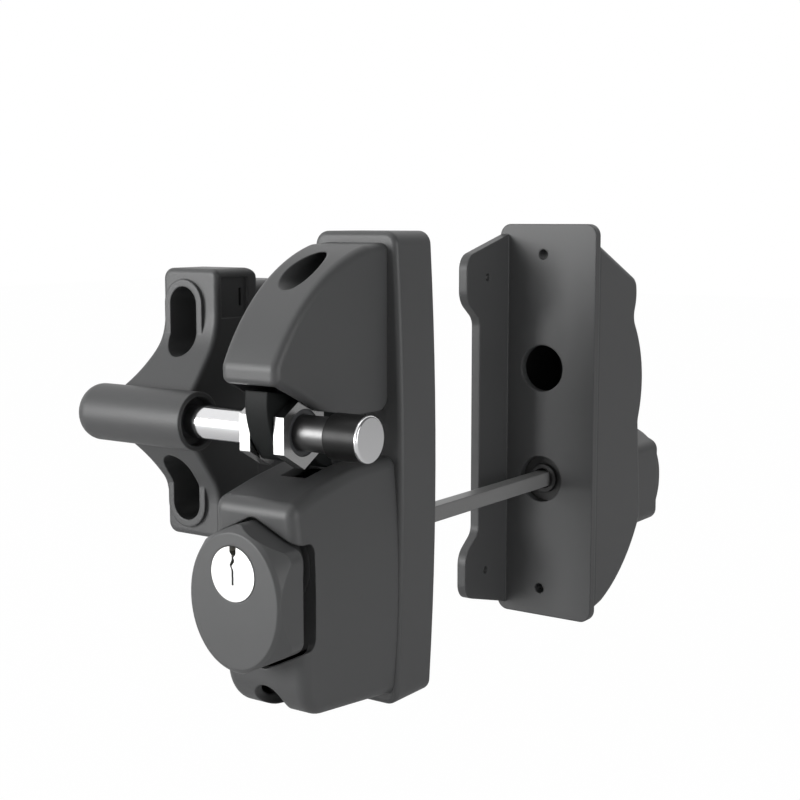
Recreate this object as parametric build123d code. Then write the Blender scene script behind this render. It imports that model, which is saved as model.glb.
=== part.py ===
from build123d import *
import os
from math import cos, radians, sin, sqrt

# Keyed gate latch: a latch with a pull knob on the post, a striker with a steel pin on the gate,
# and a second unit on the far side of the post, driven by a square rod.
# Millimetres. X runs along the striker pin, +Y goes into the post, +Z is up.
# The origin is the middle of the latch's back face, which is screwed to the post.

# Latch base
base_height = 168.0
base_end_width = 34.7
base_bulge = 2.7
base_depth = 21.4
base_corner = 5.0
base_edge = 2.0
base_wall = 3.0
back_plate_thickness = 2.5
mount_screw_z = base_height / 2 - 13.0
mount_hole = 6.6
counterbore = 12.0
screw_tube_wall = 2.5
post_depth = 114.6

# Lock axis and rod
lock_z = -24.2
rod_side = 6.0
plug_diameter = 18.0
barrel_wall = 2.0
stem_wall = 2.0
stem_tail_diameter = 14.0
stem_tail_bore = 9.4
running_gap = 0.06
sliding_gap = 0.08

# Pull knob
knob_half_width = 19.0
knob_flat = 31.8
knob_peak = 25.2
knob_centre_z = -33.2
knob_face_y = -87.4
knob_depth = 12.0
knob_corner = 5.0
knob_face_half_width = 19.3
knob_face_half_height = 23.6
knob_slope = 0.6
knob_rim = 1.2
knob_travel = 8.0
finger_gap = 8.0
pocket_gap = 1.2
pocket_corner = 3.5

# Striker pin and what sits on it
pin_y = -62.0
pin_z = 19.0
pin_diameter = 12.0
pin_head_diameter = 15.4
pin_head_left = 22.0
pin_head_right = 36.0
hex_across_flats = 21.0
hex_thickness = 4.3
ring_diameter = 15.8
ring_depth = 1.6
striker_travel = 18.0

# Jaw
jaw_pivot_y = -47.5
jaw_pivot_z = 29.5
jaw_radius = 27.5
jaw_thickness = 9.2
jaw_slot_gap = 0.3
jaw_turn = 90.0
jaw_pin_diameter = 5.0
jaw_side_gap = 0.4
heel_radius = 15.0
hub_radius = 11.5

# Hood over the jaw
hood_top_z = 80.0
hood_foot_half_width = 14.0
hood_taper = 2.3
hood_wall = 2.4
hood_edge = 3.0
hood_nose_y = -79.2

# Lower housing
housing_half_width = 15.8
housing_bulge = 2.9
housing_wall = 3.0
housing_taper = 0.8
housing_lip_y = -78.0
housing_edge = 4.0
housing_bottom_z = -79.5

# Striker casting on the gate
bracket_left = -69.5
bracket_right = -43.5
bracket_front = -44.4
bracket_back = -23.0
bracket_top = 70.6
bracket_bottom = -27.0
bracket_edge = 2.0
web_left = -77.5
boss_diameter = 20.5
boss_left = -89.0
boss_right = -37.0
boss_end = 6.5
slot_width = 12.5
slot_length = 25.0
upper_slot_z = 51.6
lower_slot_z = -8.5
rear_block_inset = 2.4

# Far-side unit
outer_left = -21.0
outer_right = 25.0
outer_top = 86.0
outer_bottom = -85.0
outer_plate_thickness = 4.0
flange_depth = 23.6
ear_reach = 10.5
ear_hole = 3.4
ear_hole_z = 63.5
outer_corner = 5.0
outer_hole = 4.4
outer_hole_z = 73.0
large_hole = 20.0
outer_wall = 3.0
outer_edge = 3.0
outer_tube_radius = 6.5
outer_tube_wall = 2.8
outer_face_y = 198.0
outer_knob_depth = 20.0


# Helpers for solids that lie along a row axis
def block(x0, x1, y0, y1, z0, z1):
    middle = Pos((x0 + x1) / 2, (y0 + y1) / 2, (z0 + z1) / 2)
    return middle * Box(x1 - x0, y1 - y0, z1 - z0)


def bar_x(radius, x0, x1, y, z):
    return Pos((x0 + x1) / 2, y, z) * Rot(0, 90, 0) * Cylinder(radius, x1 - x0)


def bar_y(radius, y0, y1, x=0.0, z=0.0):
    return Pos(x, (y0 + y1) / 2, z) * Rot(90, 0, 0) * Cylinder(radius, y1 - y0)


def tube_y(outer, inner, y0, y1, x=0.0, z=0.0):
    return bar_y(outer, y0, y1, x, z) - bar_y(inner, y0 - 1, y1 + 1, x, z)


def side_solid(face, x0, x1):
    # A face drawn with Y to the right and Z up becomes a solid between two X values.
    return extrude(Plane.YZ.offset(x0) * face, x1 - x0)


def front_solid(face, y0, y1, taper=0.0):
    # A face drawn with X to the right and Z up becomes a solid from y0 forwards to y1.
    return extrude(Plane.XZ.offset(-y0) * face, y0 - y1, taper=taper)


def rounded_at(face, corners):
    # Rounds the corner of a face that is nearest to each point, with that point's radius.
    for y, z, radius in corners:
        corner = face.vertices().sort_by_distance(Vector(y, z, 0))[0]
        face = fillet(corner, radius)
    return face


def hexagon_x(across_flats, x0, x1, y, z):
    # The hexagon has flats in front and behind, and corners above and below.
    face = RegularPolygon(across_flats / sqrt(3), 6, rotation=30)
    return Pos(0, y, z) * side_solid(face, x0, x1)


def spring_y(mean_radius, wire, y0, y1, turns, x=0.0, z=0.0):
    # An open coil spring whose wire stays between its two seats.
    rise = y1 - y0 - wire
    path = Helix(rise / turns, rise, mean_radius)
    section = Plane(origin=path @ 0, z_dir=path % 0) * Circle(wire / 2)
    coil = sweep(section, path=path)
    return Pos(x, y0 + wire / 2, z) * Rot(-90, 0, 0) * coil


parts = {}

# Heights and depths that several pieces share
base_front = -base_depth
inner_face = base_front + base_wall
plate_front = -back_plate_thickness
jaw_half = jaw_thickness / 2
stack_start = jaw_half + jaw_side_gap
stack_end = stack_start + hex_thickness
jaw_ratio = radians(jaw_turn) / striker_travel
tube_radius = counterbore / 2 + screw_tube_wall
pocket_floor = knob_face_y + knob_depth + finger_gap
knob_back = knob_face_y + knob_depth
barrel_radius = plug_diameter / 2 + running_gap + barrel_wall
stem_radius = barrel_radius + stem_wall
tail_radius = stem_tail_diameter / 2

# Places of the hidden lever and its spring
lever_pivot_y = -12.0
lever_pivot_z = 8.0
lever_pin_diameter = 4.0
lever_thickness = 5.0
lever_depth = 4.0
yoke_inner = 11.0
yoke_outer = 14.0
peg_radius = 2.0
nose_z = jaw_pivot_z + 1.0


# Latch base: a barrel-sided tray, open at the back, with tubes for the two mounting screws
def barrel_face(inset):
    half = base_end_width / 2 - inset
    top = base_height / 2 - inset
    bulge = half + base_bulge
    right = ThreePointArc((half, -top), (bulge, 0), (half, top))
    left = ThreePointArc((-half, top), (-bulge, 0), (-half, -top))
    outline = right + Line((half, top), (-half, top)) + left + Line((-half, -top), (half, -top))
    face = make_face(outline)
    return fillet(face.vertices(), base_corner - inset)


plate_seat_inset = base_wall / 2
lever_window_half = 15.2
lever_window_low = lock_z - 12
lever_window_high = lock_z + 18
nose_window_half = 4.0
cover_screw_radius = 1.5
cover_boss_radius = 3.0
cover_screw_y = base_front - 10.0
hood_screws = [(x, z) for x in (-8.2, 8.2) for z in (28.0, 53.0)]
housing_screws = [(x, z) for x in (-12.4, 12.4) for z in (-1.6, -55.0)]
screw_head_radius = 2.75
screw_head_height = 2.4

base_body = front_solid(barrel_face(0), 0, base_front)
front_edges = base_body.faces().sort_by(Axis.Y)[0].edges()
base_body = fillet(front_edges, base_edge)
base_body -= front_solid(barrel_face(base_wall), 1, inner_face)
base_body -= front_solid(barrel_face(plate_seat_inset), 1, plate_front)
for z in (-mount_screw_z, mount_screw_z):
    base_body += bar_y(counterbore / 2, inner_face - 0.5, plate_front, z=z)
    base_body -= bar_y(mount_hole / 2, base_front - 1, 1, z=z)
base_body -= block(-lever_window_half, lever_window_half, base_front - 1, inner_face + 1,
                   lever_window_low, lever_window_high)
base_body -= block(-nose_window_half, nose_window_half, base_front - 1, inner_face + 1,
                   nose_z - 5.5, nose_z + 9)
for x, z in hood_screws + housing_screws:
    base_body -= bar_y(cover_screw_radius + 0.1, base_front - 1, inner_face + 1, x, z)

# Two cheeks carry the lever's pin, and a low boss seats the lever's spring on the plate side
cheek_inner = lever_thickness / 2 + 0.4
cheek_outer = cheek_inner + 2.6
for side in (-1, 1):
    low, high = sorted((side * cheek_inner, side * cheek_outer))
    cheek = block(low, high, inner_face - 0.5, lever_pivot_y + 4, lever_pivot_z - 4.5, lever_pivot_z + 4.5)
    base_body += cheek
base_body -= bar_x(lever_pin_diameter / 2, -cheek_outer - 1, cheek_outer + 1, lever_pivot_y, lever_pivot_z)
parts["latch_base"] = base_body

# Back plate, let into the base's back
back_plate = front_solid(barrel_face(plate_seat_inset + 0.05), 0, plate_front)
for z in (-mount_screw_z, mount_screw_z):
    back_plate -= bar_y(mount_hole / 2, plate_front - 1, 1, z=z)
rod_hole_radius = rod_side / sqrt(2) + 0.8
back_plate -= bar_y(rod_hole_radius, plate_front - 1, 1, z=lock_z)
parts["back_plate"] = back_plate

# Eight screws that hold the two covers from inside the base
screws = []
for x, z in hood_screws + housing_screws:
    shank = bar_y(cover_screw_radius, cover_screw_y, inner_face, x, z)
    head = bar_y(screw_head_radius, inner_face, inner_face + screw_head_height, x, z)
    socket = bar_y(1.2, inner_face + 1.0, inner_face + 3.0, x, z)
    screws.append(shank + head - socket)
parts["cover_screws"] = Compound(screws)


# Hood: a sloped cover, open below to the mouth and closed behind by the base
hood_bend = (-61.5, 63.9)
hood_start = (-31.0, 79.4)
hood_end = (hood_nose_y, 41.5)
roof = [(-79.0, 36.4), (-57.0, 25.7), (-38.0, 22.5)]
hood_arc = ThreePointArc(hood_start, hood_bend, hood_end)
hood_outline = Polyline((base_front, hood_top_z), hood_start)
hood_outline += hood_arc
hood_outline += Polyline(hood_end, *roof, (base_front, roof[-1][1]))
hood_outline += Line((base_front, roof[-1][1]), (base_front, hood_top_z))
hood_corners = [(*hood_start, 8.0), (*hood_end, 5.0), (*roof[0], 2.0), (base_front, roof[-1][1], 5.0)]
hood_side = side_solid(rounded_at(make_face(hood_outline), hood_corners), -20, 20)


def hood_front_face(inset):
    half = hood_foot_half_width - inset
    top = hood_top_z - inset
    return make_face(Polyline((-half, 10), (half, 10), (half, top), (-half, top), close=True))


hood_outer = hood_side & front_solid(hood_front_face(0), base_front, -90, taper=hood_taper)


def shrunk_arc_point(point, wall):
    centre = hood_arc.arc_center
    ratio = (hood_arc.radius - wall) / hood_arc.radius
    return (centre.X + (point[0] - centre.X) * ratio, centre.Y + (point[1] - centre.Y) * ratio)


inner_start = shrunk_arc_point(hood_start, hood_wall)
inner_bend = shrunk_arc_point(hood_bend, hood_wall)
inner_end = shrunk_arc_point(hood_end, hood_wall)
cavity_top = hood_top_z - hood_wall
cavity_outline = Polyline((base_front + 1, cavity_top), (inner_start[0], cavity_top), inner_start)
cavity_outline += ThreePointArc(inner_start, inner_bend, inner_end)
cavity_outline += Polyline(inner_end, (inner_end[0], 15), (base_front + 1, 15), (base_front + 1, cavity_top))
cavity = side_solid(make_face(cavity_outline), -20, 20)
cavity &= front_solid(hood_front_face(hood_wall), base_front + 1, -90, taper=hood_taper)


def on_hood_rim(edge):
    middle = edge.center()
    return abs(middle.X) > 9 and middle.Y < base_front - 1 and middle.Z > 37


hood_outer = fillet(hood_outer.edges().filter_by(on_hood_rim), hood_edge)
hood = hood_outer - cavity

# The counterbored tube for the upper mounting screw, and bosses for the screws and the jaw's pin
seat_thickness = 3.0
hood += bar_y(tube_radius, -70, base_front, z=mount_screw_z) & hood_outer
hood -= bar_y(counterbore / 2, -90, base_front - seat_thickness, z=mount_screw_z)
hood -= bar_y(mount_hole / 2, -90, base_front + 1, z=mount_screw_z)
for x, z in hood_screws:
    hood += bar_y(cover_boss_radius, cover_screw_y - 2, base_front, x, z) & hood_outer
    hood -= bar_y(cover_screw_radius + 0.02, cover_screw_y - 0.3, base_front + 1, x, z)
jaw_boss_radius = 4.4
jaw_spring_width = 2.7
for side in (-1, 1):
    boss_start = stack_start if side < 0 else jaw_half + jaw_spring_width + 0.4
    low, high = sorted((side * boss_start, side * 13))
    hood += bar_x(jaw_boss_radius, low, high, jaw_pivot_y, jaw_pivot_z) & hood_outer
jaw_pin_half = 10.6
hood -= bar_x(jaw_pin_diameter / 2, -jaw_pin_half, jaw_pin_half, jaw_pivot_y, jaw_pivot_z)
parts["latch_hood"] = hood
parts["jaw_pivot_pin"] = bar_x(jaw_pin_diameter / 2, -jaw_pin_half, jaw_pin_half, jaw_pivot_y, jaw_pivot_z)


# Jaw: a disc about its pivot, with a slot cut along the path that the striker pin takes
def pin_in_jaw(travel):
    # Where the pin's centre lies in the jaw's own frame when the striker has moved this far
    angle = jaw_ratio * travel
    y = pin_y - travel - jaw_pivot_y
    z = pin_z - jaw_pivot_z
    return (y * cos(angle) - z * sin(angle), y * sin(angle) + z * cos(angle))


def polar(radius, angle):
    return (radius * cos(radians(angle)), radius * sin(radians(angle)))


slot_radius = pin_diameter / 2 + jaw_slot_gap
path_steps = 9
slot_path = Spline([pin_in_jaw(striker_travel * i / path_steps) for i in range(path_steps + 1)])
slot_face = trace(slot_path, 2 * slot_radius)
slot_face += Pos(*pin_in_jaw(0)) * Circle(slot_radius)
slot_face += Pos(*pin_in_jaw(striker_travel)) * Circle(slot_radius)
front_angle = 172.0
rear_angle = 285.0
sector = Polyline((0, 0), polar(jaw_radius, front_angle))
sector += ThreePointArc(polar(jaw_radius, front_angle), polar(jaw_radius, (front_angle + rear_angle) / 2),
                        polar(jaw_radius, rear_angle))
sector += Line(polar(jaw_radius, rear_angle), (0, 0))
jaw_face = make_face(sector) + Circle(hub_radius)
heel = Polyline((0, 0), polar(heel_radius, -8))
heel += ThreePointArc(polar(heel_radius, -8), polar(heel_radius, 20), polar(heel_radius, 48))
heel += Line(polar(heel_radius, 48), (0, 0))
jaw_face += make_face(heel)
jaw_face -= slot_face
jaw = Pos(0, jaw_pivot_y, jaw_pivot_z) * side_solid(jaw_face, -jaw_half, jaw_half)
jaw -= bar_x(jaw_pin_diameter / 2 + running_gap, -20, 20, jaw_pivot_y, jaw_pivot_z)
parts["jaw"] = jaw

# Lower housing: the cover with the mouth's floor on top and the knob's pocket in front
floor_line = [(base_front, 6.0), (-43.0, 5.2), (-60.0, 2.0), (housing_lip_y, -2.6)]
front_low = (-71.8, -74.3)
housing_outline = Polyline(*floor_line, front_low, (base_front, housing_bottom_z), floor_line[0])
housing_corners = [(*front_low, 14.0), (*floor_line[1], 40.0), (*floor_line[2], 40.0), (*floor_line[3], 5.0)]
housing_side_face = rounded_at(make_face(housing_outline), housing_corners)


def housing_front_face(inset):
    half = housing_half_width - inset
    top = 12.0
    bottom = housing_bottom_z - 4.0
    middle = (top + bottom) / 2
    right = ThreePointArc((half, bottom), (half + housing_bulge, middle), (half, top))
    left = ThreePointArc((-half, top), (-half - housing_bulge, middle), (-half, bottom))
    outline = right + Line((half, top), (-half, top)) + left + Line((-half, bottom), (half, bottom))
    return make_face(outline)


def on_housing_rim(edge):
    middle = edge.center()
    return abs(middle.X) > 8 and middle.Y < base_front - 1


housing_outer = side_solid(housing_side_face, -30, 30)
housing_outer &= front_solid(housing_front_face(0), base_front, -90, taper=housing_taper)
housing_outer = fillet(housing_outer.edges().filter_by(on_housing_rim), housing_edge)
cavity = side_solid(offset(housing_side_face, -housing_wall, kind=Kind.INTERSECTION), -30, 30)
opening_low = housing_bottom_z + housing_wall
opening = Polyline((base_front + 1, 3), (base_front - 6, 2.6), (base_front - 6, opening_low),
                   (base_front + 1, opening_low), close=True)
cavity += side_solid(make_face(opening), -30, 30)
cavity &= front_solid(housing_front_face(housing_wall), base_front + 1, -90, taper=housing_taper)


def knob_face(grow):
    half = knob_half_width + grow
    flat = knob_flat / 2 + grow / 2
    peak = knob_peak + grow
    points = [(half, -flat), (half, flat), (0, peak), (-half, flat), (-half, -flat), (0, -peak)]
    face = make_face(Polyline(*points, close=True))
    return Pos(0, knob_centre_z) * fillet(face.vertices(), knob_corner)


lower_housing = housing_outer - cavity
guide_radius = stem_radius + sliding_gap + 2.4
guide_back = -45.0
keep = housing_outer
lower_housing += bar_y(guide_radius + 2.4, pocket_floor, guide_back + 2, z=lock_z) & keep
lower_housing += front_solid(knob_face(0), pocket_floor + housing_wall, pocket_floor) & keep
pocket = front_solid(knob_face(pocket_gap), pocket_floor, -95)
lower_housing -= fillet(pocket.faces().sort_by(Axis.Y)[-1].edges(), pocket_corner)
lower_housing -= bar_y(guide_radius, -90, guide_back + 3, z=lock_z)
lower_housing += bar_y(tube_radius, -60, base_front, z=-mount_screw_z) & keep
lower_housing -= bar_y(counterbore / 2, -95, base_front - seat_thickness, z=-mount_screw_z)
lower_housing -= bar_y(mount_hole / 2, -95, base_front + 1, z=-mount_screw_z)
for x, z in housing_screws:
    lower_housing += bar_y(cover_boss_radius, cover_screw_y - 2, base_front, x, z) & keep
    lower_housing -= bar_y(cover_screw_radius + 0.02, cover_screw_y - 0.3, base_front + 1, x, z)

# The jaw dips through a slot in the mouth's floor
floor_slot = bar_x(jaw_radius + 1.0, -jaw_half - 0.6, jaw_half + 0.6, jaw_pivot_y, jaw_pivot_z)
lower_housing -= floor_slot
parts["lower_housing"] = lower_housing


# Stem guide: a flanged cup pressed into the lower housing
guide_floor = 3.0
stem_step = guide_back - guide_floor - 0.2
stem_guide = bar_y(guide_radius, pocket_floor, guide_back, z=lock_z)
stem_guide -= bar_y(stem_radius + sliding_gap, pocket_floor - 1, guide_back - guide_floor, z=lock_z)
stem_guide -= bar_y(tail_radius + sliding_gap, pocket_floor - 1, guide_back + 1, z=lock_z)
parts["stem_guide"] = stem_guide

# Pull knob: a six-sided block dressed to an oval face, on the end of the stem
stem_front = knob_face_y + 4.0
plug_front = knob_face_y - 0.2


def knob_solid(back, face_y):
    # The knob points from its back towards its face, along -Y or +Y.
    toward = 1 if face_y > back else -1
    length = abs(face_y - back)
    prism = extrude(Plane.XZ.offset(-back) * knob_face(0), length, dir=(0, toward, 0))

    def oval(distance, grow):
        plane = Plane.XZ.offset(-(back + toward * distance))
        return plane * Pos(0, knob_centre_z) * Ellipse(knob_face_half_width + grow, knob_face_half_height + grow)

    rim_start = length - knob_rim
    dressed = loft([oval(0, knob_slope * rim_start), oval(rim_start, 0)], ruled=True)
    dressed += loft([oval(rim_start, 0), oval(length, -knob_rim)], ruled=True)
    return prism & dressed


release_knob = knob_solid(knob_back, knob_face_y)
release_knob -= bar_y(stem_radius, stem_front, knob_back + 1, z=lock_z)
release_knob -= bar_y(plug_diameter / 2 + 0.15, knob_face_y - 1, knob_back, z=lock_z)
parts["release_knob"] = release_knob

# Knob stem: a wide sleeve for the lock, and a narrow tail that the rod passes through
stem_end = -7.9
stem_wall_back = 3.0
knob_stem = bar_y(stem_radius, stem_front, stem_step, z=lock_z)
knob_stem += bar_y(tail_radius, stem_step - 1, stem_end, z=lock_z)
knob_stem -= bar_y(barrel_radius, stem_front - 1, stem_step - stem_wall_back, z=lock_z)
knob_stem -= bar_y(stem_tail_bore / 2, stem_front, stem_end + 1, z=lock_z)
parts["knob_stem"] = knob_stem

# The spring's collar and the end clip leave a groove between them for the lever's pegs
groove = 5.2
clip_thickness = 1.5
collar_thickness = 2.4
collar_radius = 10.0
clip_front = stem_end - clip_thickness
collar_back = clip_front - groove
parts["spring_collar"] = tube_y(collar_radius, tail_radius, collar_back - collar_thickness, collar_back, z=lock_z)
parts["stem_clip"] = tube_y(collar_radius - 0.4, tail_radius, clip_front, stem_end, z=lock_z)
spring_wire = 1.4
spring_radius = tail_radius + 1.0 + spring_wire / 2
parts["knob_spring"] = spring_y(spring_radius, spring_wire, guide_back + 0.05,
                                collar_back - collar_thickness - 0.05, 7, z=lock_z)

# Lock: barrel, plug with its keyway, wafers, clip and cam
barrel_back = -55.0
barrel_floor = 3.0
neck_radius = 5.0
plug_shoulder = barrel_back - barrel_floor - 0.06
lock_barrel = bar_y(barrel_radius, stem_front, barrel_back, z=lock_z)
lock_barrel -= bar_y(plug_diameter / 2 + running_gap, stem_front - 1, barrel_back - barrel_floor, z=lock_z)
lock_barrel -= bar_y(neck_radius + running_gap, stem_front, barrel_back + 1, z=lock_z)
parts["lock_barrel"] = lock_barrel

rod_front = -62.0
plug_end = barrel_back + 2.6
keyway_depth = 21.0
keyway = [(-0.45, -3.6), (0.45, -3.6), (0.45, 1.2), (-0.35, 2.6), (0.9, 4.2), (0.5, 5.6), (1.5, 6.8),
          (1.5, 10.0), (-1.2, 10.0), (-1.2, 7.2), (-0.3, 6.2), (-0.3, 4.6), (-1.2, 3.0), (-0.45, 1.6)]
wafer_thickness = 1.0
wafer_half_width = 3.0
wafer_half_height = 7.6
wafer_pitch = 3.2
wafer_count = 5
first_wafer = knob_face_y + 4.0


def key_plug_solid(front, shoulder, end, socket_end):
    toward = 1 if end > front else -1
    low, high = sorted((front, shoulder))
    body = bar_y(plug_diameter / 2, low, high, z=lock_z)
    low, high = sorted((shoulder - toward, end))
    body += bar_y(neck_radius, low, high, z=lock_z)
    low, high = sorted((socket_end, end + toward))
    return body - block(-rod_side / 2, rod_side / 2, low, high, lock_z - rod_side / 2, lock_z + rod_side / 2)


def keyway_cut(front, toward):
    face = Pos(0, lock_z) * make_face(Polyline(*keyway, close=True))
    start = front - toward
    return extrude(Plane.XZ.offset(-start) * face, keyway_depth + 1, dir=(0, toward, 0))


key_plug = key_plug_solid(plug_front, plug_shoulder, plug_end, rod_front)
key_plug -= keyway_cut(plug_front, 1)
wafers = []
for i in range(wafer_count):
    y = first_wafer + i * wafer_pitch
    low = lock_z - wafer_half_height
    high = lock_z + wafer_half_height
    plate = block(-wafer_half_width, wafer_half_width, y, y + wafer_thickness, low, high)
    key_plug -= plate
    window_low = lock_z - 4.5 + 0.6 * (i % 3)
    wafers.append(plate - block(-1.6, 1.6, y - 1, y + 2, window_low, window_low + 8.5))
parts["key_plug"] = key_plug
parts["plug_wafers"] = Compound(wafers)
parts["plug_clip"] = tube_y(8.0, neck_radius, barrel_back + 0.1, barrel_back + 1.1, z=lock_z)

cam_radius = 9.5
cam_front = stem_end + 0.5
cam_thickness = 2.4
cam_face = Circle(6.0)
cam_flag = Polyline((0, 0), polar(cam_radius, 50)) + ThreePointArc(polar(cam_radius, 50), polar(cam_radius, 90),
                                                                     polar(cam_radius, 130))
cam_flag += Line(polar(cam_radius, 130), (0, 0))
cam_face += make_face(cam_flag)
cam_face -= Rectangle(rod_side, rod_side)
parts["lock_cam"] = front_solid(Pos(0, lock_z) * cam_face, cam_front + cam_thickness, cam_front)

# Release lever: a yoke that the stem pulls forwards, so that its nose draws back from the jaw
lever_front = lever_pivot_y - lever_depth / 2
lever_back = lever_pivot_y + lever_depth / 2
lever_half = lever_thickness / 2
nose_tip = jaw_pivot_y + heel_radius + 0.7
cross_low = lock_z + collar_radius + 1.2
cross_high = cross_low + 4.0
lever = block(-lever_half, lever_half, lever_front, lever_back, cross_low, nose_z + 2.5)
lever += block(-lever_half, lever_half, nose_tip, lever_back, nose_z - 2.0, nose_z + 2.5)
lever += bar_x(4.2, -lever_half, lever_half, lever_pivot_y, lever_pivot_z)
lever += block(-yoke_outer, yoke_outer, lever_front, lever_back, cross_low, cross_high)
peg_end = tail_radius + 0.4
for side in (-1, 1):
    low, high = sorted((side * yoke_inner, side * yoke_outer))
    lever += block(low, high, lever_front, lever_back, lock_z - 3, cross_high)
    low, high = sorted((side * peg_end, side * (yoke_inner + 1)))
    lever += bar_x(peg_radius, low, high, lever_pivot_y, lock_z)
lever -= bar_x(lever_pin_diameter / 2 + running_gap, -20, 20, lever_pivot_y, lever_pivot_z)
parts["release_lever"] = lever
parts["lever_pivot_pin"] = bar_x(lever_pin_diameter / 2, -cheek_outer, cheek_outer, lever_pivot_y, lever_pivot_z)
parts["lever_spring"] = spring_y(2.6, 0.6, lever_back + 0.05, plate_front - 0.05, 4.5, z=lever_pivot_z + 16)

# Jaw spring: a torsion spring on the jaw's pin, beside the jaw
jaw_spring_wire = 0.8
jaw_spring_radius = 3.5
jaw_spring_start = jaw_half + 0.2
jaw_spring_path = Helix(jaw_spring_width / 3, jaw_spring_width - jaw_spring_wire, jaw_spring_radius)
jaw_spring_section = Plane(origin=jaw_spring_path @ 0, z_dir=jaw_spring_path % 0) * Circle(jaw_spring_wire / 2)
jaw_spring = Pos(jaw_spring_start + jaw_spring_wire / 2, jaw_pivot_y, jaw_pivot_z) * Rot(0, 90, 0) * sweep(
    jaw_spring_section, path=jaw_spring_path)
parts["jaw_spring"] = jaw_spring

# Striker casting: a boss for the pin on a body with two slotted ears
flank_top = 47.0
flank_bottom = -9.0
boss_radius = boss_diameter / 2
slot_x = (bracket_left + bracket_right) / 2 - 2.0
body_outline = [(bracket_back, bracket_bottom), (bracket_front, bracket_bottom), (bracket_front, flank_bottom),
                (pin_y + 4, pin_z - boss_radius + 1), (pin_y + 4, pin_z + boss_radius - 1),
                (bracket_front, flank_top), (bracket_front, bracket_top), (bracket_back, bracket_top)]
body_face = make_face(Polyline(*body_outline, close=True))
body_face = rounded_at(body_face, [(bracket_front, flank_top, 26.0), (bracket_front, flank_bottom, 15.6),
                                   (bracket_back, bracket_top, 4.0)])
web_high = pin_z + boss_radius - 1
web_low = pin_z - boss_radius + 1
flare_top = flank_top
flare_bottom = flank_bottom
front_outline = Polyline((bracket_left, flare_top), (bracket_left, bracket_top), (bracket_right, bracket_top),
                         (bracket_right, bracket_bottom), (bracket_left, bracket_bottom),
                         (bracket_left, flare_bottom))
front_outline += ThreePointArc((bracket_left, flare_bottom), (bracket_left - 2.2, 2.5), (web_left, web_low))
front_outline += Line((web_left, web_low), (web_left, web_high))
front_outline += ThreePointArc((web_left, web_high), (bracket_left - 2.8, 35.5), (bracket_left, flare_top))
front_face = rounded_at(make_face(front_outline), [(bracket_left, bracket_top, 4.0), (bracket_right, bracket_top, 3.0),
                                                   (bracket_left, bracket_bottom, 4.0),
                                                   (bracket_right, bracket_bottom, 3.0)])
bracket = side_solid(body_face, web_left - 1, bracket_right + 1) & front_solid(front_face, 0, -90)


def on_front_rim(edge):
    middle = edge.center()
    return middle.Y < bracket_back - 1 and (middle.X < bracket_left + 1 or middle.X > bracket_right - 0.1)


bracket = fillet(bracket.edges().filter_by(on_front_rim), bracket_edge)
boss = fillet(bar_x(boss_radius, boss_left, boss_right, pin_y, pin_z).edges().sort_by(Axis.X)[0], boss_end)
bracket += boss


def slot_cut(width, length, y0, y1, z):
    face = Pos(slot_x, z) * Rot(0, 0, 90) * SlotOverall(length, width)
    return extrude(Plane.XZ.offset(-y1) * face, y1 - y0)


rim_width = 2.6
rim_height = 1.3
for z in (upper_slot_z, lower_slot_z):
    bracket += slot_cut(slot_width + 2 * rim_width, slot_length + 2 * rim_width,
                        bracket_front - rim_height, bracket_front + 6, z)
for z in (upper_slot_z, lower_slot_z):
    bracket -= slot_cut(slot_width, slot_length, -80, 1, z)
bracket -= block(bracket_left + 4, bracket_right - 4, pin_y + boss_radius + 1, bracket_back + 1, 14.0, 30.0)
bracket -= block(bracket_right - 1.0, bracket_right + 1, -42, -27.5, 53, 67.5)
bracket -= block(bracket_right - 3.5, bracket_right + 1, -31.5, -29.8, 57, 63.5)
pin_left = boss_left + 8.0
end_recess = 4.0
end_wall = 1.6
bracket -= bar_x(pin_diameter / 2, pin_left, boss_right + 1, pin_y, pin_z)
bracket -= bar_x(boss_radius - end_wall, boss_right - end_recess, boss_right + 1, pin_y, pin_z)
set_screw_x = -56.0
set_screw_radius = 2.5
set_screw_low = pin_z - boss_radius + 0.4
set_screw_high = pin_z - pin_diameter / 2
set_screw_length = set_screw_high - set_screw_low
set_screw = Pos(set_screw_x, pin_y, (set_screw_low + set_screw_high) / 2) * Cylinder(
    set_screw_radius, set_screw_length)
set_screw -= Pos(set_screw_x, pin_y, set_screw_low - 1) * extrude(RegularPolygon(1.3, 6), 2.8)
bracket -= Pos(set_screw_x, pin_y, pin_z - 8) * Cylinder(set_screw_radius, 12)
bracket_screw_radius = 2.0
bracket_screw_z = (9.5, 34.0)
bracket_screw_x = slot_x
for z in bracket_screw_z:
    bracket -= bar_y(bracket_screw_radius, bracket_back - 9, bracket_back + 1, bracket_screw_x, z)
parts["striker_bracket"] = bracket
parts["pin_set_screw"] = set_screw

# Rear block between the casting and the gate
block_left = bracket_left + rear_block_inset
block_right = bracket_right - rear_block_inset
block_top = bracket_top - 5.0
block_bottom = bracket_bottom + 4.0
rear_block = block(block_left, block_right, bracket_back, 0, block_bottom, block_top)
rear_block = fillet(rear_block.edges().filter_by(Axis.Y), 5.0)
for z in (upper_slot_z, lower_slot_z):
    rear_block -= slot_cut(slot_width, slot_length, -80, 1, z)
screw_head_depth = 3.0
bracket_screws = []
for z in bracket_screw_z:
    rear_block -= bar_y(bracket_screw_radius + 0.1, bracket_back - 1, 1, bracket_screw_x, z)
    rear_block -= bar_y(3.6, -screw_head_depth - 0.6, 1, bracket_screw_x, z)
    screw = bar_y(bracket_screw_radius, bracket_back - 8.5, -screw_head_depth, bracket_screw_x, z)
    screw += bar_y(3.5, -screw_head_depth - 0.6, -0.6, bracket_screw_x, z)
    bracket_screws.append(screw - bar_y(1.4, -2.4, 1, bracket_screw_x, z))
parts["striker_rear_block"] = rear_block
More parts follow.
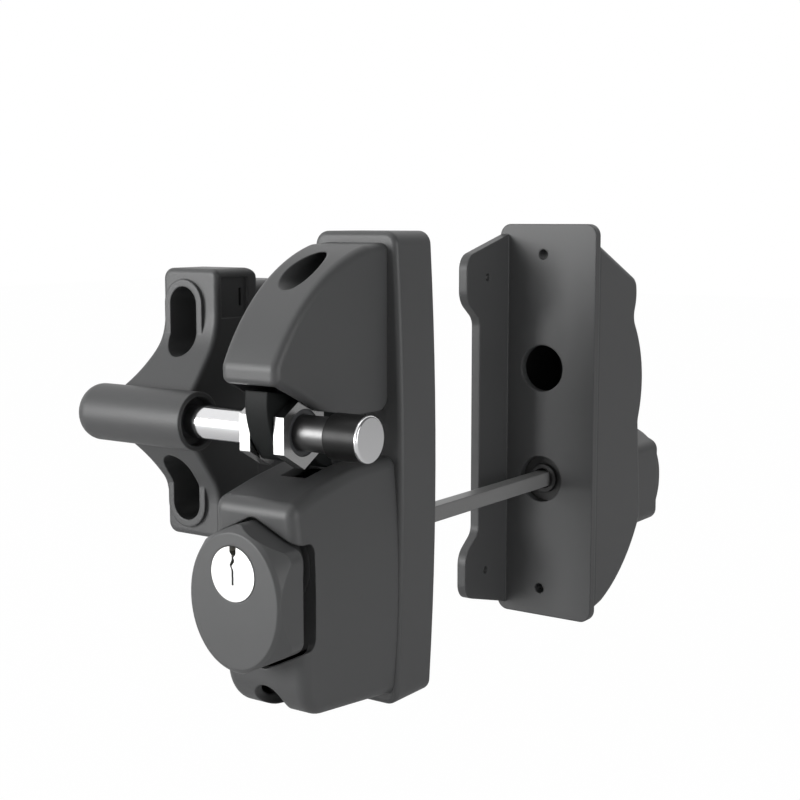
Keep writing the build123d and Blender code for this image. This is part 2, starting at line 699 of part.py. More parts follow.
parts["bracket_screws"] = Compound(bracket_screws)

# Striker pin with its head, and the two hexagons that stand either side of the jaw
head = bar_x(pin_head_diameter / 2, pin_head_left, pin_head_right, pin_y, pin_z)
head = fillet(head.edges().filter_by(GeomType.CIRCLE), 0.7)
striker_pin = bar_x(pin_diameter / 2, pin_left, pin_head_left + 1, pin_y, pin_z) + head
parts["striker_pin"] = striker_pin
pin_hole = bar_x(pin_diameter / 2, -20, 20, pin_y, pin_z)
parts["pin_flange"] = hexagon_x(hex_across_flats, -stack_end, -stack_start, pin_y, pin_z) - pin_hole
lock_nut = hexagon_x(hex_across_flats, stack_start, stack_end, pin_y, pin_z) - pin_hole
recess = bar_x(ring_diameter / 2, stack_end - ring_depth, stack_end + 1, pin_y, pin_z)
parts["pin_lock_nut"] = lock_nut - recess
ring = bar_x(ring_diameter / 2, stack_end - ring_depth, stack_end - 0.5, pin_y, pin_z)
parts["nut_insert_ring"] = ring - pin_hole

# Far-side plate: a flat plate with a side flange and two drilled ears
plate_near = post_depth
plate_far = post_depth + outer_plate_thickness
flange_right = outer_left + outer_plate_thickness
plate_corners = [(x, z) for x in (outer_left, outer_right) for z in (outer_bottom, outer_top)]
plate_face = make_face(Polyline(plate_corners[0], plate_corners[1], plate_corners[3], plate_corners[2], close=True))
plate_face = rounded_at(plate_face, [(x, z, outer_corner) for x, z in plate_corners])
plate = extrude(Plane.XZ.offset(-plate_near) * plate_face, outer_plate_thickness, dir=(0, 1, 0))
flange_edge = plate_near - flange_depth
ear_edge = flange_edge - ear_reach
flange_half = outer_top - 4.5


def ear_outline(sign):
    # One end of the flange, from the straight edge out to the plate
    return [(flange_edge, sign * 46.0), (ear_edge, sign * 54.0), (ear_edge, sign * 72.5),
            (plate_near, sign * flange_half)]


flange_points = ear_outline(1) + [(plate_far, flange_half), (plate_far, -flange_half)] + ear_outline(-1)[::-1]
flange_face = make_face(Polyline(*flange_points, close=True))
flange_face = rounded_at(flange_face, [(ear_edge, 54.0, 9.0), (ear_edge, -54.0, 9.0), (ear_edge, 72.5, 7.0),
                                       (ear_edge, -72.5, 7.0), (flange_edge, 46.0, 6.0), (flange_edge, -46.0, 6.0)])
plate += side_solid(flange_face, outer_left, flange_right)
ear_hole_y = plate_near - 17.5
for z in (-ear_hole_z, ear_hole_z):
    plate -= bar_x(ear_hole / 2, outer_left - 1, flange_right + 1, ear_hole_y, z)
for z in (-outer_hole_z, outer_hole_z):
    plate -= bar_y(outer_hole / 2, plate_near - 1, plate_far + 1, z=z)
for z in (lock_z, -lock_z):
    plate -= bar_y(large_hole / 2, plate_near - 1, plate_far + 1, z=z)
parts["outer_plate"] = plate

# Far-side housing: a bulged cover with a six-sided pad for its knob
lobe_top = (plate_far + 39.4, 62.0)
lobe_foot = (plate_far + 37.4, 45.0)
knob_seat_top = (plate_far + 44.4, -2.0)
knob_seat_foot = (plate_far + 48.5, -46.0)
outer_turn = (plate_far + 10.0, -79.0)
outline = Polyline((plate_far, 79.0), lobe_top)
outline += ThreePointArc(lobe_top, (plate_far + 40.5, 53.0), lobe_foot)
outline += ThreePointArc(lobe_foot, (plate_far + 48.0, 20.0), knob_seat_top)
outline += Line(knob_seat_top, knob_seat_foot)
outline += ThreePointArc(knob_seat_foot, (plate_far + 34.0, -64.5), outer_turn)
outline += Polyline(outer_turn, (plate_far, -81.0), (plate_far, 79.0))
outer_corners = [(*lobe_top, 6.0), (*lobe_foot, 6.0), (*knob_seat_top, 6.0), (*knob_seat_foot, 6.0),
                 (*outer_turn, 6.0)]
outer_side_face = rounded_at(make_face(outline), outer_corners)
outer_left_side = outer_left + 1.0
outer_right_side = outer_right - 1.0
outer_housing = side_solid(outer_side_face, outer_left_side, outer_right_side)
outer_housing = fillet(outer_housing.faces().sort_by(Axis.X)[-1].edges(), outer_edge)
inner_lobe = (plate_far + 33.4, 46.0)
inner_seat = (plate_far + 40.9, -2.0)
inner_start = (plate_far - 1, 75.0)
inner_outline = Polyline(inner_start, (plate_far + outer_wall, 75.0), (plate_far + 35.0, 59.0), inner_lobe)
inner_outline += ThreePointArc(inner_lobe, (plate_far + 44.6, 20.0), inner_seat)
inner_outline += Polyline(inner_seat, (plate_far + 43.0, -44.0), (plate_far + 15.0, -70.0),
                          (plate_far + outer_wall, -75.0), (plate_far - 1, -75.0), inner_start)
cavity = side_solid(make_face(inner_outline), outer_left_side + outer_wall, outer_right_side - outer_wall)

# A six-sided collar takes the knob; inside are the sleeve's guide, the bush's seat and the screws' tubes
outer_knob_back = outer_face_y - outer_knob_depth
pad_front = outer_knob_back + 10.0
pad_back = plate_far + 31.4
pad_wall = 2.0
pad_gap = 0.6
pad_floor = outer_knob_back - knob_travel - pad_gap
stem_tube_start = plate_far + 18.4
stem_tube_end = stem_tube_start + 3.0
bush_flange = 2.0
bush_flange_radius = 12.5
bush_hub_radius = 6.2
bush_seat = plate_far + bush_flange + 0.05
cavity -= bar_y(stem_radius + 3.0, stem_tube_start, pad_front, z=lock_z)
cavity -= bar_y(bush_flange_radius, bush_seat, stem_tube_end, z=lock_z)
for z in (-outer_hole_z, outer_hole_z):
    cavity -= bar_y(outer_tube_radius, plate_far, pad_front, z=z)
pad_shape = knob_face(pad_gap + pad_wall)
outer_housing += extrude(Plane.XZ.offset(-pad_back) * pad_shape, pad_front - pad_back, dir=(0, 1, 0))
outer_housing -= extrude(Plane.XZ.offset(-pad_floor) * knob_face(pad_gap), pad_front, dir=(0, 1, 0))
outer_housing -= cavity
outer_housing -= bar_y(stem_radius + sliding_gap, stem_tube_end, pad_front + 1, z=lock_z)
outer_housing -= bar_y(bush_flange_radius - 3.0, bush_seat - 1, stem_tube_end + 1, z=lock_z)
for z in (-outer_hole_z, outer_hole_z):
    outer_housing -= bar_y(outer_hole / 2, plate_far - 1, pad_front, z=z)
    outer_housing -= bar_y(outer_tube_radius - outer_tube_wall, plate_far + outer_wall, pad_front, z=z)
parts["outer_housing"] = outer_housing

# Far-side knob, sleeve, lock and the rod that ties the two sides together
outer_stem_front = outer_face_y - 4.0
outer_stem_back = stem_tube_end + 10.0
outer_knob = knob_solid(outer_knob_back, outer_face_y)
outer_knob -= bar_y(stem_radius, outer_knob_back - 1, outer_stem_front, z=lock_z)
outer_knob -= bar_y(plug_diameter / 2 + 0.15, outer_knob_back, outer_face_y + 1, z=lock_z)
parts["outer_knob"] = outer_knob
outer_stem = bar_y(stem_radius, outer_stem_back, outer_stem_front, z=lock_z)
outer_stem -= bar_y(barrel_radius, outer_stem_back + stem_wall_back, outer_stem_front + 1, z=lock_z)
outer_stem -= bar_y(neck_radius + 1.0, outer_stem_back - 1, outer_stem_front, z=lock_z)
parts["outer_stem"] = outer_stem
outer_barrel_back = 162.0
outer_barrel = bar_y(barrel_radius, outer_barrel_back, outer_stem_front, z=lock_z)
outer_barrel -= bar_y(plug_diameter / 2 + running_gap, outer_barrel_back + barrel_floor, outer_stem_front + 1,
                      z=lock_z)
outer_barrel -= bar_y(neck_radius + running_gap, outer_barrel_back - 1, outer_stem_front, z=lock_z)
parts["outer_barrel"] = outer_barrel
outer_plug_front = outer_face_y + 0.2
outer_plug_shoulder = outer_barrel_back + barrel_floor + 0.06
outer_plug_end = outer_barrel_back - 2.6
rod_back = outer_plug_shoulder + 6.0
outer_plug = key_plug_solid(outer_plug_front, outer_plug_shoulder, outer_plug_end, rod_back)
outer_plug -= keyway_cut(outer_plug_front, -1)
parts["outer_plug"] = outer_plug
parts["outer_plug_clip"] = tube_y(8.0, neck_radius, outer_barrel_back - 1.1, outer_barrel_back - 0.1, z=lock_z)
rod_low = lock_z - rod_side / 2
rod_high = lock_z + rod_side / 2
drive_rod = block(-rod_side / 2, rod_side / 2, rod_front, rod_back, rod_low, rod_high)
parts["drive_rod"] = drive_rod
rod_bush = bar_y(bush_hub_radius, plate_near + 2.0, bush_seat, z=lock_z)
rod_bush += bar_y(bush_flange_radius, plate_far + 0.02, bush_seat, z=lock_z)
rod_bush -= bar_y(rod_side / sqrt(2) + sliding_gap, plate_near, bush_seat + 1, z=lock_z)
parts["rod_bush"] = rod_bush

for name, solid in parts.items():
    print(name, round(solid.volume), len(solid.solids()))
os.makedirs("parts", exist_ok=True)
for name, solid in parts.items():
    export_step(solid, f"parts/{name}.step")
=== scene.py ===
# %% [markdown]
# # A keyed gate latch, dressed for its portrait
#
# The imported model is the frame: each solid of the latch, of the striker and of the far-side unit is
# already in its place, in metres, and knows which moving body it rides on. This script gives every
# solid its finish, adds what only shows up close, and sets the camera and the light.

# %% Load the frame
from math import radians, tau

import bmesh
import bpy
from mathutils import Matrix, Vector


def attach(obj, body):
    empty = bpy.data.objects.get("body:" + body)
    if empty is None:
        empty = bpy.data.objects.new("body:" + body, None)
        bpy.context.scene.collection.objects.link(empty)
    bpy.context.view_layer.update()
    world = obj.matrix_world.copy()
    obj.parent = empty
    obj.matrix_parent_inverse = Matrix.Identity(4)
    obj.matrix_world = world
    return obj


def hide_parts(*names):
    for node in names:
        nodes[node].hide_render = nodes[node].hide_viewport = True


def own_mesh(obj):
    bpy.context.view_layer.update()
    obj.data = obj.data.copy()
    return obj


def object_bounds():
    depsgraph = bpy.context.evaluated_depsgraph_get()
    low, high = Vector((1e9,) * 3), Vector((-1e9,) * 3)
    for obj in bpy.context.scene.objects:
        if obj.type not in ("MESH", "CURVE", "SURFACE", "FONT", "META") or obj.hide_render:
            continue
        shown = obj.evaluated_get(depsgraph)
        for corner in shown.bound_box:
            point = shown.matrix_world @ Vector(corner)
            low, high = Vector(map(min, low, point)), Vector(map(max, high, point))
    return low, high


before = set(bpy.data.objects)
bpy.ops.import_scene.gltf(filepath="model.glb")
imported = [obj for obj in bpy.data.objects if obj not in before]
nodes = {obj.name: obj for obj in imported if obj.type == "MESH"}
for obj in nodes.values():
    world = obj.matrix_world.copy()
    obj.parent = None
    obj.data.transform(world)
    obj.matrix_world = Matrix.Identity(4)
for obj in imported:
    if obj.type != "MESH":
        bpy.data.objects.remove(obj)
cad_box = [[round(value, 6) for value in corner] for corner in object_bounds()]
print("solids:", len(nodes), "box:", cad_box)

# %% [markdown]
# ## The camera
#
# The photograph looks at the latch from its lower right, a little from above. Parallel edges on the
# two upright units give the angle, and the known size of the striker pin gives the distance. A lens
# longer than normal keeps the far unit nearly as large as the near one.

# %% Camera
camera_eye = Vector((0.29245, -0.4189, 0.0880))
camera_azimuth = 34.5
camera_elevation = 7.3
lens_mm = 63.5
sensor_mm = 36.0

camera_data = bpy.data.cameras.new("portrait_camera")
camera_data.lens = lens_mm
camera_data.sensor_width = sensor_mm
camera_data.clip_start = 0.01
camera_data.clip_end = 20.0
camera = bpy.data.objects.new("portrait_camera", camera_data)
camera.location = camera_eye
camera.rotation_euler = (radians(90 - camera_elevation), 0.0, radians(camera_azimuth))
bpy.context.scene.collection.objects.link(camera)
bpy.context.scene.camera = camera
print("camera at", [round(v, 3) for v in camera_eye])

# %% [markdown]
# ## Small tools for materials
#
# Every finish starts from a Principled shader. A helper makes the material and hands back its node
# tree, so that each finish below only says what is special about it.

# %% Material helpers
def new_finish(name, colour, roughness, metallic=0.0):
    material = bpy.data.materials.new(name)
    material.use_nodes = True
    tree = material.node_tree
    shader = tree.nodes["Principled BSDF"]
    shader.inputs["Base Color"].default_value = (*colour, 1.0)
    shader.inputs["Roughness"].default_value = roughness
    shader.inputs["Metallic"].default_value = metallic
    return material, tree, shader


def wear(node, material):
    # A solid may have several slots, and all of them take the same finish.
    slots = nodes[node].data.materials
    slots.clear()
    slots.append(material)


# %% [markdown]
# ## Moulded grain, shared by all the plastics
#
# Injection-moulded covers take a fine spark-eroded grain from their mould. It breaks up highlights,
# so a satin cover looks soft. One node group gives the grain as a height, a slow drift of tone from
# one area to the next, and a roughness that follows both. It reads Object coordinates in metres, so
# a grain of a third of a millimetre needs a noise scale of about three thousand.

# %% Node group: moulded grain
grain_detail = 3.0
drift_scale = 26.0
drift_detail = 4.0


def grain_group():
    group = bpy.data.node_groups.new("moulded_grain", "ShaderNodeTree")
    for name, kind, value in (("Colour", "NodeSocketColor", (0.05, 0.05, 0.05, 1.0)),
                              ("Grain Scale", "NodeSocketFloat", 2600.0),
                              ("Drift", "NodeSocketFloat", 0.12),
                              ("Roughness", "NodeSocketFloat", 0.5),
                              ("Roughness Spread", "NodeSocketFloat", 0.1)):
        socket = group.interface.new_socket(name, in_out="INPUT", socket_type=kind)
        socket.default_value = value
    group.interface.new_socket("Colour", in_out="OUTPUT", socket_type="NodeSocketColor")
    group.interface.new_socket("Roughness", in_out="OUTPUT", socket_type="NodeSocketFloat")
    group.interface.new_socket("Height", in_out="OUTPUT", socket_type="NodeSocketFloat")
    make = group.nodes.new
    link = group.links.new
    given = make("NodeGroupInput")
    out = make("NodeGroupOutput")
    place = make("ShaderNodeTexCoord")

    grain = make("ShaderNodeTexNoise")
    grain.inputs["Detail"].default_value = grain_detail
    link(place.outputs["Object"], grain.inputs["Vector"])
    link(given.outputs["Grain Scale"], grain.inputs["Scale"])

    slow = make("ShaderNodeTexNoise")
    slow.inputs["Scale"].default_value = drift_scale
    slow.inputs["Detail"].default_value = drift_detail
    link(place.outputs["Object"], slow.inputs["Vector"])

    centred = make("ShaderNodeMath")
    centred.operation = "SUBTRACT"
    centred.inputs[1].default_value = 0.5
    link(slow.outputs["Fac"], centred.inputs[0])

    amount = make("ShaderNodeMath")
    amount.operation = "MULTIPLY_ADD"
    amount.inputs[2].default_value = 1.0
    link(centred.outputs[0], amount.inputs[0])
    link(given.outputs["Drift"], amount.inputs[1])

    toned = make("ShaderNodeVectorMath")
    toned.operation = "SCALE"
    link(given.outputs["Colour"], toned.inputs[0])
    link(amount.outputs[0], toned.inputs["Scale"])
    link(toned.outputs[0], out.inputs["Colour"])

    both = make("ShaderNodeMath")
    both.operation = "MULTIPLY"
    link(slow.outputs["Fac"], both.inputs[0])
    link(grain.outputs["Fac"], both.inputs[1])
    rough = make("ShaderNodeMath")
    rough.operation = "MULTIPLY_ADD"
    link(both.outputs[0], rough.inputs[0])
    link(given.outputs["Roughness Spread"], rough.inputs[1])
    link(given.outputs["Roughness"], rough.inputs[2])
    link(rough.outputs[0], out.inputs["Roughness"])
    link(grain.outputs["Fac"], out.inputs["Height"])
    return group


moulded_grain = grain_group()
print("node group:", moulded_grain.name)

# %% [markdown]
# ## Charcoal plastic
#
# The covers are one charcoal colour, slightly cool. The pull knob is handled all day, so its grain is
# finer and its sheen a little higher. The striker's casting has a powder coat: its bumps are larger
# and rounder than a mould's grain. A Bevel node rounds the shading at every sharp edge, because no
# moulded edge is quite sharp. The jaw is blacker and duller than the rest.

# %% Charcoal finishes
grain_strength = 0.35
soft_edge_samples = 6
jaw_specular = 0.15


def charcoal(name, colour, roughness, grain_scale, bump_mm, spread=0.1, drift=0.12, soft_mm=0.9):
    material, tree, shader = new_finish(name, colour, roughness)
    effect = tree.nodes.new("ShaderNodeGroup")
    effect.node_tree = moulded_grain
    effect.inputs["Colour"].default_value = (*colour, 1.0)
    effect.inputs["Grain Scale"].default_value = grain_scale
    effect.inputs["Drift"].default_value = drift
    effect.inputs["Roughness"].default_value = roughness
    effect.inputs["Roughness Spread"].default_value = spread
    bump = tree.nodes.new("ShaderNodeBump")
    bump.inputs["Strength"].default_value = grain_strength
    bump.inputs["Distance"].default_value = bump_mm / 1000
    soft_edge = tree.nodes.new("ShaderNodeBevel")
    soft_edge.samples = soft_edge_samples
    soft_edge.inputs["Radius"].default_value = soft_mm / 1000
    tree.links.new(soft_edge.outputs["Normal"], bump.inputs["Normal"])
    tree.links.new(effect.outputs["Colour"], shader.inputs["Base Color"])
    tree.links.new(effect.outputs["Roughness"], shader.inputs["Roughness"])
    tree.links.new(effect.outputs["Height"], bump.inputs["Height"])
    tree.links.new(bump.outputs["Normal"], shader.inputs["Normal"])
    return material


charcoal_colour = (0.059, 0.060, 0.061)
cover_finish = charcoal("charcoal_cover", charcoal_colour, 0.42, 2600.0, 0.12)
knob_finish = charcoal("charcoal_knob", (0.062, 0.063, 0.064), 0.40, 3200.0, 0.08)
casting_finish = charcoal("charcoal_powder_coat", (0.054, 0.055, 0.056), 0.42, 1500.0, 0.16)
# Painted shade: the jaw is near black with a low specular level, standing in for the deep shade in the
# mouth and its slot.
jaw_painted_shade_finish = charcoal("jaw_painted_shade", (0.008, 0.009, 0.009), 0.50, 3000.0, 0.06)
jaw_painted_shade_finish.node_tree.nodes["Principled BSDF"].inputs["Specular IOR Level"].default_value = jaw_specular
rod_finish = charcoal("dark_rod", (0.17, 0.17, 0.17), 0.36, 1800.0, 0.05)
# Painted shade: the rod bush is coloured near black, standing in for the shade deep in the plate's hole.
bush_painted_shade_finish = charcoal("bush_painted_shade", (0.025, 0.025, 0.025), 0.5, 2600.0, 0.08)
# Painted shade: the ring in the nut takes a dark plastic colour, standing in for the shaded recess
# around the pin.
ring_painted_shade_finish = charcoal("insert_ring_painted_shade", (0.06, 0.062, 0.066), 0.45, 2600.0, 0.05)
for node in ("latch_base", "back_plate", "latch_hood", "lower_housing", "stem_guide", "outer_plate",
             "outer_housing", "outer_stem", "knob_stem", "striker_rear_block"):
    wear(node, cover_finish)
for node in ("release_knob", "outer_knob"):
    wear(node, knob_finish)
wear("striker_bracket", casting_finish)
wear("jaw", jaw_painted_shade_finish)
wear("drive_rod", rod_finish)
wear("rod_bush", bush_painted_shade_finish)
wear("nut_insert_ring", ring_painted_shade_finish)

# %% [markdown]
# ## Bright metals
#
# The striker pin and its two hexagons are chromed steel. Chrome is nearly a mirror, yet real plating
# follows the turning marks below it, so its roughness has faint rings round the pin's axis. The
# nuts are satin, with an even roughness that keeps their flats clean. The plug's face is brushed
# flat, and the hidden steel and brass pieces are plain turned stock.

# %% Metal finishes
scratch_detail = 3.0
noise_low = 0.3
noise_high = 0.7
scratch_strength = 0.12
scratch_depth = 0.00004
even_marks = (1.0, 1.0, 1.0)
turned_marks = (1.0, 0.12, 0.12)
brushed_marks = (0.2, 1.0, 1.0)


def metal(name, colour, roughness, scratch_scale, scratch_stretch, spread):
    material, tree, shader = new_finish(name, colour, roughness, metallic=1.0)
    place = tree.nodes.new("ShaderNodeTexCoord")
    mapping = tree.nodes.new("ShaderNodeMapping")
    mapping.inputs["Scale"].default_value = scratch_stretch
    scratch = tree.nodes.new("ShaderNodeTexNoise")
    scratch.inputs["Scale"].default_value = scratch_scale
    scratch.inputs["Detail"].default_value = scratch_detail
    span = tree.nodes.new("ShaderNodeMapRange")
    span.inputs["From Min"].default_value = noise_low
    span.inputs["From Max"].default_value = noise_high
    span.inputs["To Min"].default_value = roughness - spread / 2
    span.inputs["To Max"].default_value = roughness + spread / 2
    bump = tree.nodes.new("ShaderNodeBump")
    bump.inputs["Strength"].default_value = scratch_strength
    bump.inputs["Distance"].default_value = scratch_depth
    tree.links.new(place.outputs["Object"], mapping.inputs["Vector"])
    tree.links.new(mapping.outputs["Vector"], scratch.inputs["Vector"])
    tree.links.new(scratch.outputs["Fac"], span.inputs["Value"])
    tree.links.new(span.outputs["Result"], shader.inputs["Roughness"])
    tree.links.new(scratch.outputs["Fac"], bump.inputs["Height"])
    tree.links.new(bump.outputs["Normal"], shader.inputs["Normal"])
    return material


chrome_colour = (0.80, 0.80, 0.81)
chrome_finish = metal("chrome", chrome_colour, 0.12, 900.0, turned_marks, 0.04)
hexagon_finish = metal("satin_nut", (0.50, 0.50, 0.50), 0.26, 900.0, even_marks, 0.02)
plug_finish = metal("plug_face", (0.76, 0.76, 0.75), 0.36, 700.0, brushed_marks, 0.1)
steel_finish = metal("plain_steel", (0.52, 0.52, 0.53), 0.34, 900.0, even_marks, 0.14)
spring_finish = metal("spring_wire", (0.42, 0.42, 0.43), 0.3, 900.0, even_marks, 0.1)
brass_finish = metal("brass", (0.68, 0.50, 0.24), 0.3, 900.0, even_marks, 0.12)
# Painted shade: the wafers' brass is coloured dark brown, standing in for the shade deep inside the
# keyway.
wafer_painted_shade_finish = metal("brass_painted_shade", (0.09, 0.08, 0.06), 0.5, 900.0, even_marks, 0.12)
wear("striker_pin", chrome_finish)
for node in ("pin_flange", "pin_lock_nut"):
    wear(node, hexagon_finish)
for node in ("key_plug", "outer_plug"):
    wear(node, plug_finish)
for node in ("knob_spring", "lever_spring", "jaw_spring"):
    wear(node, spring_finish)
for node in ("lock_barrel", "outer_barrel"):
    wear(node, brass_finish)
wear("plug_wafers", wafer_painted_shade_finish)
for node in ("cover_screws", "jaw_pivot_pin", "lever_pivot_pin", "release_lever", "spring_collar",
             "stem_clip", "plug_clip", "lock_cam", "bracket_screws", "pin_set_screw", "outer_plug_clip"):
    wear(node, steel_finish)

# %% [markdown]
# ## The pin's zones
#
# One pin shows three surfaces. Most of it is chrome, and the short length that comes out of the nut is
# threaded. Under the bright cap of the head, the cylinder is painted black with a little shine. This is
# a painted dark reflection, standing in for the dark hood and body that the chrome mirrors there. Masks
# along the pin's own axis place them: a narrow Map Range is a soft step, and two steps multiplied make a
# band.

# %% Zones along the pin
thread_start = 0.0070
thread_end = 0.0217
# Painted dark reflection: the head's chrome is coloured black over this length.
painted_reflection_start = 0.0218
painted_reflection_end = 0.0350
thread_colour = (0.13, 0.13, 0.13)
painted_reflection_colour = (0.004, 0.004, 0.004)
metal_specular = 0.5
painted_reflection_specular = 0.25
zone_dulling = 0.26


def band_mask(tree, along, start, end, blur=0.0002):
    steps = []
    for edge, low, high in ((start, 0.0, 1.0), (end, 1.0, 0.0)):
        step = tree.nodes.new("ShaderNodeMapRange")
        step.inputs["From Min"].default_value = edge - blur
        step.inputs["From Max"].default_value = edge + blur
        step.inputs["To Min"].default_value = low
        step.inputs["To Max"].default_value = high
        tree.links.new(along, step.inputs["Value"])
        steps.append(step)
    band = tree.nodes.new("ShaderNodeMath")
    band.operation = "MULTIPLY"
    tree.links.new(steps[0].outputs["Result"], band.inputs[0])
    tree.links.new(steps[1].outputs["Result"], band.inputs[1])
    return band.outputs[0]


def mixed(tree, mask, first, second):
    # A colour that is the first where the mask is 0 and the second where it is 1.
    mix = tree.nodes.new("ShaderNodeMix")
    mix.data_type = "RGBA"
    tree.links.new(mask, mix.inputs["Factor"])
    for socket, value in (("A", first), ("B", second)):
        target = [s for s in mix.inputs if s.name == socket and s.type == "RGBA"][0]
        if isinstance(value, tuple):
            target.default_value = (*value, 1.0)
        else:
            tree.links.new(value, target)
    return [s for s in mix.outputs if s.type == "RGBA"][0]


def scaled_mask(tree, mask, when_clear, when_set):
    # A number that goes from one value to the other as the mask goes from 0 to 1.
    span = tree.nodes.new("ShaderNodeMapRange")
    span.inputs["To Min"].default_value = when_clear
    span.inputs["To Max"].default_value = when_set
    tree.links.new(mask, span.inputs["Value"])
    return span.outputs["Result"]


pin_tree = chrome_finish.node_tree
pin_shader = pin_tree.nodes["Principled BSDF"]
pin_place = pin_tree.nodes.new("ShaderNodeTexCoord")
pin_axes = pin_tree.nodes.new("ShaderNodeSeparateXYZ")
pin_tree.links.new(pin_place.outputs["Object"], pin_axes.inputs[0])
# Painted dark reflection: black colour, no metal and less shine over the head's cylinder.
painted_reflection_band = band_mask(pin_tree, pin_axes.outputs["X"], painted_reflection_start, painted_reflection_end)
thread = band_mask(pin_tree, pin_axes.outputs["X"], thread_start, thread_end)
threaded = mixed(pin_tree, thread, chrome_colour, thread_colour)
painted_reflection_colours = mixed(pin_tree, painted_reflection_band, threaded, painted_reflection_colour)
painted_reflection_metal = scaled_mask(pin_tree, painted_reflection_band, 1.0, 0.0)
painted_reflection_shine = scaled_mask(pin_tree, painted_reflection_band, metal_specular, painted_reflection_specular)
pin_tree.links.new(painted_reflection_colours, pin_shader.inputs["Base Color"])
pin_tree.links.new(painted_reflection_metal, pin_shader.inputs["Metallic"])
pin_tree.links.new(painted_reflection_shine, pin_shader.inputs["Specular IOR Level"])
dull = pin_tree.nodes.new("ShaderNodeMath")
dull.operation = "MAXIMUM"
pin_tree.links.new(painted_reflection_band, dull.inputs[0])
pin_tree.links.new(thread, dull.inputs[1])
dulled = pin_tree.nodes.new("ShaderNodeMath")
dulled.operation = "MULTIPLY_ADD"
dulled.inputs[1].default_value = zone_dulling
pin_tree.links.new(dull.outputs[0], dulled.inputs[0])
pin_tree.links.new(pin_shader.inputs["Roughness"].links[0].from_socket, dulled.inputs[2])
pin_tree.links.new(dulled.outputs[0], pin_shader.inputs["Roughness"])

bare = [name for name, piece in nodes.items() if not piece.data.materials[0].use_nodes]
print("finished solids:", len(nodes) - len(bare))

# %% [markdown]
# ## Coil springs
#
# Two of the hidden springs are remade as coils of wire that ride on the latch body.

# %% Coil springs
wire_segments = 10
steps_per_turn = 28


def coil_piece(name, seat, free_end, height, mean_radius, wire, turns):
    steps = round(turns * steps_per_turn)
    low, high = sorted((seat, free_end))
    climb = (high - low - wire) / steps
    coil = bmesh.new()
    bmesh.ops.create_circle(coil, radius=wire / 2, segments=wire_segments)
    bmesh.ops.translate(coil, verts=coil.verts, vec=(mean_radius, low + wire / 2, 0.0))
    bmesh.ops.spin(coil, geom=coil.verts[:] + coil.edges[:], cent=(0.0, 0.0, 0.0),
                   axis=(0.0, 1.0, 0.0), dvec=(0.0, climb, 0.0), angle=tau * turns, steps=steps,
                   use_merge=False)
    bmesh.ops.holes_fill(coil, edges=coil.edges, sides=0)
    bmesh.ops.recalc_face_normals(coil, faces=coil.faces)
    bmesh.ops.translate(coil, verts=coil.verts, vec=(0.0, 0.0, height))
    for face in coil.faces:
        face.smooth = True
    data = bpy.data.meshes.new(name)
    coil.to_mesh(data)
    coil.free()
    piece = bpy.data.objects.new(name, data)
    bpy.context.scene.collection.objects.link(piece)
    data.materials.append(spring_finish)
    return piece


for node, joint, seat, free_end, height, mean_radius, wire, turns, keep in (
        ("knob_spring", "knob_pull", -0.04495, -0.01705, -0.0242, 0.0087, 0.0014, 7.0, 0.71),
        ("lever_spring", "lever_turn", -0.00255, -0.00995, 0.0240, 0.0026, 0.0006, 4.5, 0.34)):
    spring = coil_piece(node + "_coil", seat, free_end, height, mean_radius, wire, turns)
    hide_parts(node)
    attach(spring, "latch")
    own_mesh(spring)

# %% [markdown]
# ## Light
#
# A product shot on white: a wide soft lamp from the left, at the object's height, lights the front
# faces. A weaker one from the right opens the side faces, and a third from above draws the bright
# lines along the upper edges. The backdrop is white to the camera and lights the object only a
# little. In reflections it is white on the left and dark on the right, as a studio with one white
# wall is.

# %% Lamps, world and floor
def soft_lamp(name, place, aim, size, watts):
    data = bpy.data.lights.new(name, "AREA")
    data.shape = "RECTANGLE"
    data.size = size[0]
    data.size_y = size[1]
    data.energy = watts
    lamp = bpy.data.objects.new(name, data)
    lamp.location = place
    direction = Vector(aim) - Vector(place)
    lamp.rotation_euler = direction.to_track_quat("-Z", "Y").to_euler()
    bpy.context.scene.collection.objects.link(lamp)


aim_point = (0.0, 0.02, 0.0)
soft_lamp("front_lamp", (-0.60, -1.05, 0.20), aim_point, (0.6, 0.6), 12.0)
soft_lamp("right_lamp", (0.95, -0.10, 0.10), aim_point, (0.5, 0.7), 3.8)
soft_lamp("top_lamp", (-0.3, -0.20, 1.0), aim_point, (0.6, 0.6), 1.2)

white = (1.0, 1.0, 1.0, 1.0)
backdrop_strength = 1.0
fill_strength = 0.35
dark_wall_strength = 0.14
dark_wall_from = 0.5

world = bpy.data.worlds.new("studio")
world.use_nodes = True
bpy.context.scene.world = world
world_tree = world.node_tree
world_tree.nodes.clear()
world_out = world_tree.nodes.new("ShaderNodeOutputWorld")
seen_light = world_tree.nodes.new("ShaderNodeBackground")
fill_light = world_tree.nodes.new("ShaderNodeBackground")
mirrored_light = world_tree.nodes.new("ShaderNodeBackground")
for light, strength in ((seen_light, backdrop_strength), (fill_light, fill_strength),
                        (mirrored_light, backdrop_strength)):
    light.inputs["Color"].default_value = white
    light.inputs["Strength"].default_value = strength
ray = world_tree.nodes.new("ShaderNodeLightPath")
studio_place = world_tree.nodes.new("ShaderNodeTexCoord")
studio_axes = world_tree.nodes.new("ShaderNodeSeparateXYZ")
studio_tone = world_tree.nodes.new("ShaderNodeMapRange")
studio_tone.interpolation_type = "SMOOTHSTEP"
studio_tone.inputs["From Min"].default_value = 0.0
studio_tone.inputs["From Max"].default_value = dark_wall_from
studio_tone.inputs["To Min"].default_value = backdrop_strength
studio_tone.inputs["To Max"].default_value = dark_wall_strength
world_tree.links.new(studio_place.outputs["Generated"], studio_axes.inputs[0])
world_tree.links.new(studio_axes.outputs["X"], studio_tone.inputs["Value"])
world_tree.links.new(studio_tone.outputs["Result"], mirrored_light.inputs["Strength"])
mirror_mix = world_tree.nodes.new("ShaderNodeMixShader")
world_mix = world_tree.nodes.new("ShaderNodeMixShader")
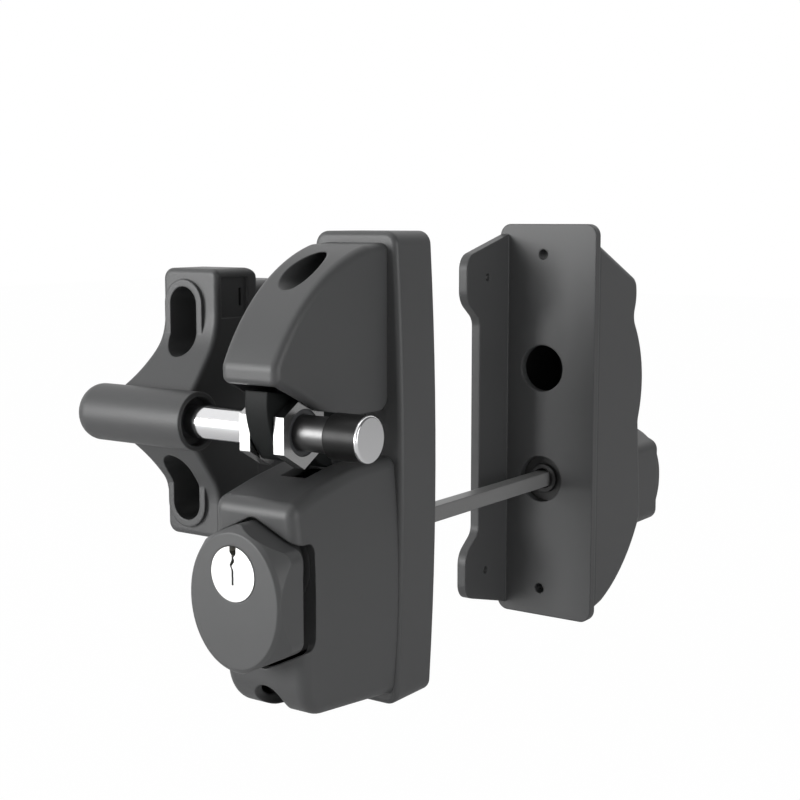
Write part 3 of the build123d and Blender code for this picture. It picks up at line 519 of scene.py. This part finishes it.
world_tree.links.new(ray.outputs["Is Glossy Ray"], mirror_mix.inputs[0])
world_tree.links.new(fill_light.outputs[0], mirror_mix.inputs[1])
world_tree.links.new(mirrored_light.outputs[0], mirror_mix.inputs[2])
world_tree.links.new(ray.outputs["Is Camera Ray"], world_mix.inputs[0])
world_tree.links.new(mirror_mix.outputs[0], world_mix.inputs[1])
world_tree.links.new(seen_light.outputs[0], world_mix.inputs[2])
world_tree.links.new(world_mix.outputs[0], world_out.inputs[0])

floor_gap = 0.02
floor_size = 6.0
floor_seen_share = 0.99
floor_mesh = bmesh.new()
bmesh.ops.create_grid(floor_mesh, x_segments=1, y_segments=1, size=floor_size / 2)
bmesh.ops.translate(floor_mesh, verts=floor_mesh.verts, vec=(0.0, 0.0, cad_box[0][2] - floor_gap))
floor_data = bpy.data.meshes.new("floor")
floor_mesh.to_mesh(floor_data)
floor_mesh.free()
floor = bpy.data.objects.new("floor", floor_data)
bpy.context.scene.collection.objects.link(floor)
floor_finish, floor_tree, floor_shader = new_finish("pale_floor", (0.85, 0.85, 0.85), 0.8)
floor_seen = floor_tree.nodes.new("ShaderNodeEmission")
floor_seen.inputs["Strength"].default_value = backdrop_strength
floor_mix = floor_tree.nodes.new("ShaderNodeMixShader")
floor_ray = floor_tree.nodes.new("ShaderNodeLightPath")
floor_share = floor_tree.nodes.new("ShaderNodeMath")
floor_share.operation = "MULTIPLY"
floor_share.inputs[1].default_value = floor_seen_share
floor_tree.links.new(floor_ray.outputs["Is Camera Ray"], floor_share.inputs[0])
floor_tree.links.new(floor_share.outputs[0], floor_mix.inputs[0])
floor_tree.links.new(floor_shader.outputs[0], floor_mix.inputs[1])
floor_tree.links.new(floor_seen.outputs[0], floor_mix.inputs[2])
floor_tree.links.new(floor_mix.outputs[0], floor_tree.nodes["Material Output"].inputs["Surface"])
floor_data.materials.append(floor_finish)

# %% [markdown]
# ## View transform
#
# The view transform stays plain, so that a colour renders as it is written.

# %% Finish
bpy.context.scene.view_settings.view_transform = "Standard"
